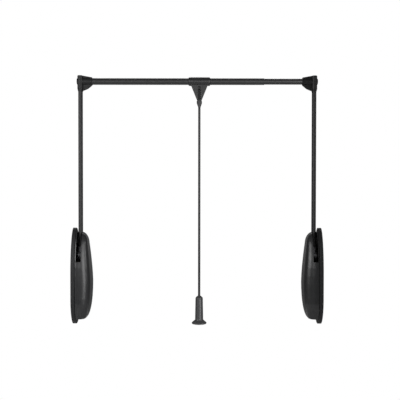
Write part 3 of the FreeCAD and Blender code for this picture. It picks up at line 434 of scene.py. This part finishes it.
# Cosines of the angle from straight behind over which the backdrop comes in.
BACKDROP_FROM, BACKDROP_AT = 0.985, 0.998
GLOW = 0.15


def grey(level):
    return (level, level, level)


def make_floor():
    """A pale floor under the lift, which turns to plain white far from it."""
    middle = (cad_low.x + cad_high.x) / 2
    bpy.ops.mesh.primitive_circle_add(
        vertices=FLOOR_SIDES,
        radius=FLOOR_RADIUS,
        fill_type="NGON",
        location=(middle, 0, cad_low.z - FLOOR_DROP),
    )
    floor = bpy.context.object
    floor.name = "floor"
    floor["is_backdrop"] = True
    finish = Finish("pale_floor", grey(0.86), 0.7)
    grain = finish.noise(scale=6.0, detail=2.0)
    finish.colour(finish.mixed(grain, grey(0.85), grey(0.88)))
    inputs = {"Vector": finish.place, "Location": (-middle, 0, 0)}
    from_middle = finish.node("ShaderNodeMapping", {}, inputs, "Vector")
    length = {"operation": "LENGTH"}
    reach = finish.node("ShaderNodeVectorMath", length, {0: from_middle}, "Value")
    plain = reach.kept_in(PLAIN_FROM, PLAIN_AT)
    plain = plain * finish.seen_by("Camera", "Glossy", "Transmission")
    white = finish.node("ShaderNodeEmission", {}, {"Color": WHITE, "Strength": 1.0})
    shader = Signal(finish, finish.shader.outputs["BSDF"])
    surface = finish.node("ShaderNodeMixShader", {}, {0: plain, 1: shader, 2: white})
    finish.feed(finish.tree.nodes["Material Output"].inputs["Surface"], surface)
    floor.data.materials.append(finish.material)


def make_world():
    """White backdrop behind the lift, also in reflections, and an even soft glow all round."""
    world = bpy.data.worlds.new("studio")
    bpy.context.scene.world = world
    world.use_nodes = True
    world.node_tree.nodes.clear()
    sky = Tree(world.node_tree)
    way = sky.node("ShaderNodeTexCoord", {}, {}, "Generated")
    backward = sky.node("ShaderNodeSeparateXYZ", {}, {"Vector": way}, "Y")
    mirrored = sky.seen_by("Glossy") * backward.kept_in(BACKDROP_FROM, BACKDROP_AT)
    seen = mirrored.or_higher(sky.seen_by("Camera", "Transmission"))
    white = sky.node("ShaderNodeBackground", {}, {"Color": WHITE, "Strength": 1.0})
    soft = sky.node("ShaderNodeBackground", {}, {"Color": WHITE, "Strength": GLOW})
    mix = sky.node("ShaderNodeMixShader", {}, {0: seen, 1: soft, 2: white})
    sky.node("ShaderNodeOutputWorld", {}, {"Surface": mix})


def softbox(name, place, wide, high, power, aim=(0, 0, 0)):
    """An area lamp; `place` and `aim` are from the middle of the lift."""
    lamp = bpy.data.lights.new(name, "AREA")
    lamp.shape = "RECTANGLE"
    lamp.size = wide
    lamp.size_y = high
    lamp.energy = power
    holder = bpy.data.objects.new(name, lamp)
    bpy.context.scene.collection.objects.link(holder)
    middle = (cad_low + cad_high) / 2
    holder.location = middle + Vector(place)
    facing = middle + Vector(aim) - holder.location
    holder.rotation_euler = facing.to_track_quat("-Z", "Y").to_euler()
    return holder


def lit_past_the_flag():
    """All but the right end of the lift, which a flag keeps in the lamp's shade."""
    lit = bpy.data.collections.new("lit_past_the_flag")
    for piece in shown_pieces():
        if not piece.name.startswith("right_"):
            lit.objects.link(piece)
    return lit


def light_studio():
    softbox("left_box", place=(-1.94, -1.84, 0.38), wide=1.5, high=1.1, power=47)
    softbox("front_box", place=(-0.2, -2.67, 0.3), wide=1.0, high=1.1, power=12)
    softbox("right_box", place=(2.38, -1.22, 0.38), wide=0.5, high=1.1, power=18)
    softbox("back_box", place=(0.0, 1.6, 1.9), wide=2.0, high=1.0, power=20)
    flagged = softbox(
        "flagged_box", place=(1.42, -2.26, 0.05), wide=1.1, high=1.8, power=53,
        aim=(-0.38, 0, -0.24),
    )
    flagged.light_linking.receiver_collection = lit_past_the_flag()


# ---- put together ------------------------------------------------------------------------

set_camera()
dress_nodes()
long_shouldered_bracket()
close_fitting_head()
full_pull_rod()
light_studio()
make_world()
make_floor()
bpy.context.scene.view_settings.view_transform = "Standard"
